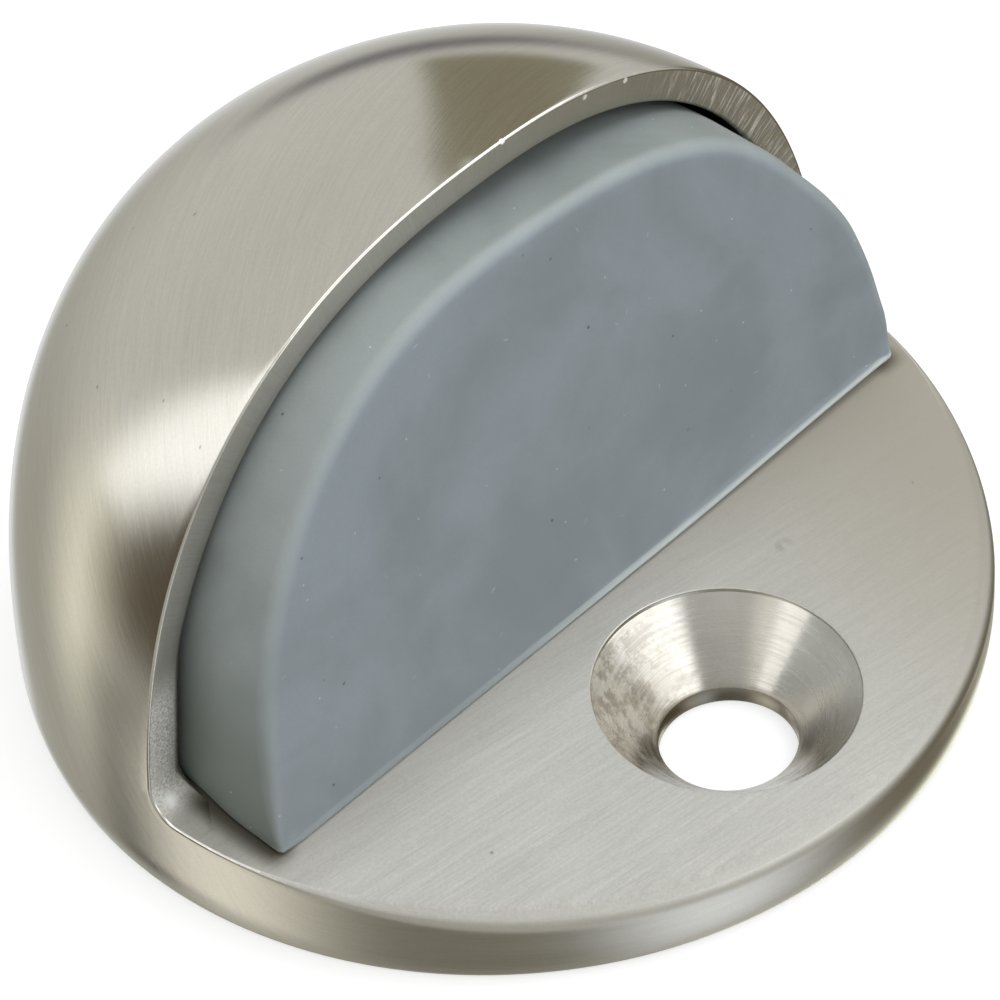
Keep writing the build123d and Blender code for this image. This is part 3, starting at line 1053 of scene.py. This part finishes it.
def satin_nickel(name, tangent=None, anisotropic=0.0, roughness=0.15, relief=0.1):
    """Brushed nickel plate. The brushing runs differently on each face of the casting.

    tangent names the direction across the grooves, where they spread a reflection."""
    mat, tree, shader = material(name)
    at = casting_point(tree, tangent == "radial")
    add_brushing(tree, at)
    colour = plate_colour(tree, at)
    for marks in (wear, stains, rim_marks_and_painted_light, painted_contact_shade, turned_marks_and_painted_light):
        colour = marks(tree, at, colour)
    tree.feed(shader, "Base Color", colour)
    # Less metallic at the painted glints of nicks and scratches, the hollow's painted highlight,
    # the countersink's painted lit side, and on the filed foot
    tree.feed(shader, "Metallic", tree.math("SUBTRACT", 1.0, at.matt))

    turned = tree.times(at.sink, tree.remap(streaks(tree, at, 9.0, 0.1, 2.0), 0.35, 0.65))
    rough = tree.add(roughness, (at.fine, 0.06), (at.stain, 0.2), (turned, 0.12), (at.top, 0.4))
    if not tangent:
        rough = tree.add(rough, (at.crown, -0.05), (tree.remap(at.y, -2.0, -9.0), 0.12))
    tree.feed(shader, "Roughness", rough)
    if tangent == "radial":
        tree.feed(shader, "Tangent", at.outward)
    elif tangent:
        tree.feed(shader, "Tangent", tree.combine(*tangent))
    tree.feed(shader, "Anisotropic", anisotropic)

    rim_brushing = (tree.times(at.fine, at.rim), 3.0)
    rough_plate = (tree.times(at.grain, at.top), 1.5)
    filing = (tree.times(at.grain, at.filed), 4.0)
    height = tree.add(at.fine, (at.broad, 0.6), rim_brushing, rough_plate, filing)
    height = tree.times(height, tree.add(1.0, (at.crown, -0.6)))
    height = tree.add(height, (tree.remap(tree.distance(at.pos, PIP), 0.5, 0.1), 20.0))
    tree.feed(shader, "Normal", tree.bump(height, relief, 0.00002))
    return mat


# Rubber of the sides and of the face (darkest and lightest), painted as differently lit copies of
# one rubber, then painted shade, painted highlights and what lies on it
SIDE_LIT_RUBBER = (rgb(0.22, 0.247, 0.24), rgb(0.275, 0.303, 0.298))
FACE_LIT_RUBBER = (rgb(0.212, 0.242, 0.262), rgb(0.256, 0.291, 0.32))
LOW_SIDE_SHADE = rgb(0.125, 0.145, 0.122)
RUBBER_GRAIN = rgb(0.16, 0.18, 0.18)
EDGE_HIGHLIGHT = rgb(0.42, 0.46, 0.47)
FLASH_HIGHLIGHT = rgb(0.52, 0.56, 0.54)
SPECK = rgb(0.05, 0.055, 0.05)
DUST = rgb(0.6, 0.64, 0.62)
SCUFF = rgb(0.55, 0.6, 0.63)
# Height of the painted highlight on the flash along the face's bottom edge, and each set of
# scuffs: its angle and a seed
FLASH_HIGHLIGHT_Z = 5.0
SCUFF_SETS = ((0.5, 3.0), (1.3, 11.0), (2.4, 23.0))


def scuff_lines(tree, pos, turn, seed):
    """Short, slightly bent scratches across the face, at an angle of turn radians."""
    along = tree.vector("DOT_PRODUCT", pos, (cos(turn), 0.0, sin(turn)), output="Value")
    over = tree.vector("DOT_PRODUCT", pos, (-sin(turn), 0.0, cos(turn)), output="Value")
    bend = tree.noise(tree.vector("ADD", pos, (seed, seed, seed)), 0.35, 2.0)
    over = tree.add(over, (bend, 3.0))
    point = tree.combine(tree.times(along, 0.22), tree.times(over, 1.6), seed)
    return tree.remap(tree.cells(point, 1.0), 0.05, 0.015)


def grey_rubber():
    """Moulded rubber: matt, a little cloudy, with dust, specks and faint scratches."""
    mat, tree, shader = material("grey_rubber")
    pos = position(tree)
    x, y, z = tree.separate(pos)
    edge_highlight = tree.node("ShaderNodeAttribute", attribute_name="zone").outputs["Alpha"]
    facing = tree.separate(tree.node("ShaderNodeNewGeometry").outputs["Normal"])[1]
    face = tree.remap(facing, -0.5, -0.93)

    cloud = tree.remap(tree.noise(pos, 0.13, 4.0, 0.55, 0.4), 0.35, 0.65)
    grain = tree.noise(pos, 9.0, 3.0, 0.6)
    # Painted light: the sides and the face take differently lit colours of one rubber, picked by
    # the way the surface faces
    side = tree.mix(cloud, *SIDE_LIT_RUBBER)
    # Painted shade: the sides darker towards the bottom
    side = tree.mix(tree.remap(z, 15.0, 8.0, 0.0, 0.75), side, LOW_SIDE_SHADE)
    colour = tree.mix(face, side, tree.mix(cloud, *FACE_LIT_RUBBER))
    colour = tree.mix(tree.remap(grain, 0.3, 0.7, 0.0, 0.12), colour, RUBBER_GRAIN)
    # Painted highlight along the face's rounded edge
    colour = tree.mix(tree.times(edge_highlight, 0.24), colour, EDGE_HIGHLIGHT)
    # Painted highlight on the flash along the bottom edge of the face
    flash_highlight_top = tree.remap(x, 4.0, 20.0, FLASH_HIGHLIGHT_Z, FLASH_HIGHLIGHT_Z + FACE_LIFT)
    flash_highlight = tree.remap(tree.math("SUBTRACT", z, flash_highlight_top), 0.12, -0.05)
    flash_highlight = tree.times(flash_highlight, tree.remap(y, -4.5, -5.5), tree.remap(x, -12.0, 14.0, 0.15, 0.9))
    colour = tree.mix(flash_highlight, colour, FLASH_HIGHLIGHT)
    # Dark specks, pale dust and scuffs
    specks = tree.remap(tree.cells(pos, 0.55), 0.055, 0.03)
    specks = tree.times(specks, tree.remap(tree.noise(pos, 0.8, 2.0), 0.5, 0.58), 0.75)
    colour = tree.mix(specks, colour, SPECK)
    dust = tree.remap(tree.cells(tree.vector("ADD", pos, (31.0, 17.0, 5.0)), 0.7), 0.05, 0.02)
    colour = tree.mix(tree.times(dust, 0.5), colour, DUST)
    scuffs = 0.0
    for turn, seed in SCUFF_SETS:
        scuffs = tree.math("ADD", scuffs, scuff_lines(tree, pos, turn, seed))
    patches = tree.remap(tree.noise(pos, 0.5, 2.0), 0.45, 0.65, 0.0, 0.5)
    colour = tree.mix(tree.times(scuffs, patches, face), colour, SCUFF)
    tree.feed(shader, "Base Color", colour)
    tree.feed(shader, "Roughness", tree.add(0.42, (cloud, 0.12)))
    tree.feed(shader, "Specular IOR Level", 0.45)
    height = tree.add(grain, (tree.noise(pos, 1.2, 2.0), 2.0))
    tree.feed(shader, "Normal", tree.bump(height, 0.3, 0.00003))
    return mat


def plain_metal(name, dark, light, roughness):
    """Turned or plated metal of the fixings, with rings about the screw's axis."""
    mat, tree, shader = material(name)
    pos = position(tree)
    from_axis = tree.vector("SUBTRACT", pos, (0.0, FIXING_Y, 0.0))
    radial = tree.vector("MULTIPLY", from_axis, (1, 1, 0))
    radius = tree.vector("LENGTH", radial, output="Value")
    z = tree.separate(pos)[2]
    rings = tree.noise(tree.combine(tree.times(radius, 7.0), z, 0.0), 1.0, 3.0)
    cloud = tree.noise(pos, 0.9, 3.0)
    tone = tree.remap(tree.math("ADD", rings, cloud), 0.7, 1.3)
    tree.feed(shader, "Base Color", tree.mix(tone, dark, light))
    tree.feed(shader, "Metallic", 1.0)
    tree.feed(shader, "Roughness", tree.add(roughness, (cloud, 0.15)))
    tree.feed(shader, "Normal", tree.bump(rings, 0.2, 0.00003))
    return mat


# --- Scene -------------------------------------------------------------------------------------
def dress(piece, *mats):
    """Put the materials in the piece's slots, leaving its faces' slot numbers as they are."""
    slots = piece.data.materials
    for i, mat in enumerate(mats):
        if i < len(slots):
            slots[i] = mat
        else:
            slots.append(mat)


def stand_for(piece, node, slot, *mats):
    """The piece takes the CAD node's place."""
    dress(piece, *mats)
    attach(piece, "root")
    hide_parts(node)


add_camera()
add_floor()
add_world()
nickel = (
    satin_nickel("satin_nickel"),
    satin_nickel("satin_nickel_top", TOP_ACROSS, anisotropic=0.35, roughness=0.42, relief=0.35),
    satin_nickel("satin_nickel_turned", "radial", anisotropic=0.65, roughness=0.13, relief=0.25),
)
stand_for(make_body(), "cast_body", "satin_nickel", *nickel)
stand_for(make_bumper(), "rubber_bumper", "grey_rubber", grey_rubber())
brass = plain_metal("brass", rgb(0.62, 0.44, 0.2), rgb(0.82, 0.62, 0.32), 0.28)
zinc = plain_metal("zinc_steel", rgb(0.42, 0.43, 0.44), rgb(0.66, 0.67, 0.68), 0.3)
dress(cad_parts["bumper_insert"], brass)
dress(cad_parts["bumper_screw"], zinc)
dress(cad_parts["bumper_washer"], zinc)
